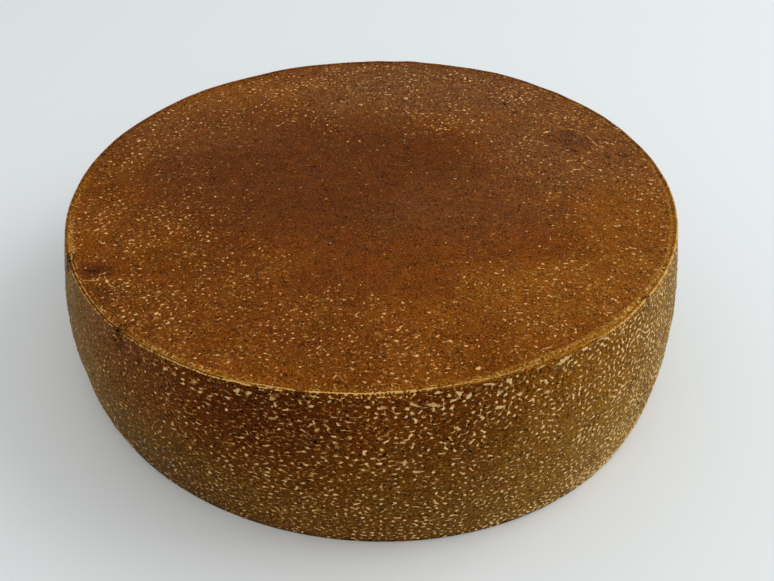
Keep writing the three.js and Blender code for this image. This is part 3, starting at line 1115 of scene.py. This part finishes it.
def make_rim_folds(finish):
    along, inset = grid(2 * math.pi * RIM_RADIUS, RIM_HIGH - RIM_LOW, RIM_STEP)
    inset = inset + RIM_LOW
    bearing = seam_bearing(along, RIM_RADIUS)
    ragged = grain(along.shape, RIM_STEP, long=1.8, high=1.5, seed=11)
    worn = grain(along.shape, RIM_STEP, long=8.0, high=30.0, seed=12)
    teeth = grain(along.shape, RIM_STEP, long=1.6, high=4.0, seed=13)
    flecks = grain(along.shape, RIM_STEP, long=2.7, high=3.0, seed=17)
    strands = grain(along.shape, RIM_STEP, long=14.0, high=1.3, seed=15)
    broken = np.max([notch_share(notch, bearing) for notch in NOTCHES], axis=0)
    broken = smoothstep(broken, 0.6, 0.9)
    course = along_rim(bearing, CREST_COURSE)
    crest = hump((inset - course) / 0.9) - 0.5 - 0.7 * (1 - along_rim(bearing, CREST_WORN))
    fold = hump((inset - 2.6) / 3.5) - 0.8 - 0.9 * (1 - along_rim(bearing, INNER_WORN))
    beads = hump((inset + 1.3) / 0.8) - 1.0 - 0.8 * (1 - range_share(bearing, BEADED))
    torn = range_share(bearing, TOOTHED)
    golden = range_share(bearing, FLECKED)
    fold += 0.4 * (1 - np.maximum(torn, 0.6 * golden)) * strands + (0.1 + 0.2 * torn) * teeth
    fold += np.maximum(0.3 * torn, 0.6 * golden) * flecks
    excess = np.maximum(crest + 0.15 * worn, fold)
    pale = np.where(fold > crest, -0.1, 0.1 + 0.4 * range_share(bearing, CREAM_CREST))
    pale -= 0.3 * np.maximum(golden, 0.5 * torn)
    excess = np.maximum(excess, beads + 0.5 * teeth)
    lines = [
        (rim_along(start), low, rim_along(end), high, half_width)
        for start, low, end, high, half_width in RIM_LINES
    ]
    thin = stroke_excess(along, inset, lines)
    thin -= 1.5 * broken + 0.7 * smoothstep(worn, 0.4, 1.2)
    excess -= golden * (1.5 * hump((inset - 0.6) / 0.6) + smoothstep(inset, 2.8, 4.4))
    excess = np.maximum(excess, thin) + 0.3 * ragged - 1.5 * broken

    def place(along, up, lift):
        bearing = seam_bearing(along, RIM_RADIUS)
        inset = up + RIM_LOW
        radius = RIM_RADIUS - inset
        cos, sin = np.cos(np.radians(bearing)), np.sin(np.radians(bearing))
        below = inset < 0
        points = on_face(radius * cos, radius * sin)
        points[below] = on_side(bearing[below], THICKNESS + inset[below])
        level = smoothstep(inset, -0.6, 0.8)
        points[:, 2] += lift * level
        return push_out(points, bearing, lift * (1 - level))

    make_scabs("rim_folds", excess, RIM_STEP, place, 0.25, finish, strips=8, pale=pale)


make_rind()
make_side_specks(scab_material("side_scab", *SIDE_SCAB))
make_chips(scab_material("chip_scab", *CHIP_SCAB))
make_top_specks(scab_material("top_scab", *TOP_SCAB))
make_rim_folds(scab_material("rim_scab", *RIM_SCAB))

# ---------- Floor, light and camera ----------

FLOOR_REACH = 8.0  # metres
FLOOR_GREY = (0.8, 0.8, 0.8, 1)
ROOM_COLOUR = (0.92, 0.97, 1.0, 1)
ROOM_STRENGTH = 0.7

# The lights: place and size in metres, power in watts, colour
WINDOW = ((1.45, 0.35, 1.45), 1.4, 18, (0.92, 0.98, 1))
FILL = ((0.1, -1.5, 1.2), 1.2, 6, (0.98, 0.94, 0.78))

# The camera, from the floor under the middle of the top face: millimetres and degrees
CAMERA_BACK = 429.5
CAMERA_HEIGHT = 353.9
CAMERA_TURN = -1.44
CAMERA_DOWN = 37.61
CAMERA_ROLL = 3.59
LENS = 46.51
SENSOR = 36

floor_mesh = bpy.data.meshes.new("floor")
corners = [(-1, -1, 0), (1, -1, 0), (1, 1, 0), (-1, 1, 0)]
floor_mesh.from_pydata([Vector(corner) * FLOOR_REACH for corner in corners], [], [(0, 1, 2, 3)])
floor = bpy.data.objects.new("floor", floor_mesh)
bpy.context.scene.collection.objects.link(floor)
floor_finish = Finish("pale_floor", roughness=0.7, specular=0.2)
floor_finish.shader.inputs["Base Color"].default_value = FLOOR_GREY
floor_mesh.materials.append(floor_finish.material)

world = bpy.data.worlds.new("room")
bpy.context.scene.world = world
world.use_nodes = True
world.node_tree.nodes["Background"].inputs["Color"].default_value = ROOM_COLOUR
world.node_tree.nodes["Background"].inputs["Strength"].default_value = ROOM_STRENGTH


def add_light(name, place, size, energy, colour):
    """A square soft light that looks at the middle of the underside."""
    light = bpy.data.objects.new(name, bpy.data.lights.new(name, "AREA"))
    light.data.size = size
    light.data.energy = energy
    light.data.color = colour
    light.location = place
    light.rotation_mode = "QUATERNION"
    light.rotation_quaternion = Vector(place).to_track_quat("Z", "Y")
    bpy.context.scene.collection.objects.link(light)


add_light("window", *WINDOW)
add_light("fill", *FILL)

camera = bpy.data.objects.new("camera", bpy.data.cameras.new("camera"))
camera.data.sensor_width = SENSOR
camera.data.lens = LENS
bpy.context.scene.collection.objects.link(camera)
place = Vector((LEAN * (GIRTH_SHARE - 1), -CAMERA_BACK, CAMERA_HEIGHT)) * MM
camera.matrix_world = (
    Matrix.Translation(place)
    @ Matrix.Rotation(math.radians(CAMERA_TURN), 4, "Z")
    @ Matrix.Rotation(math.radians(90 - CAMERA_DOWN), 4, "X")
    @ Matrix.Rotation(math.radians(CAMERA_ROLL), 4, "Z")
)
bpy.context.scene.camera = camera
bpy.context.scene.view_settings.view_transform = "Standard"
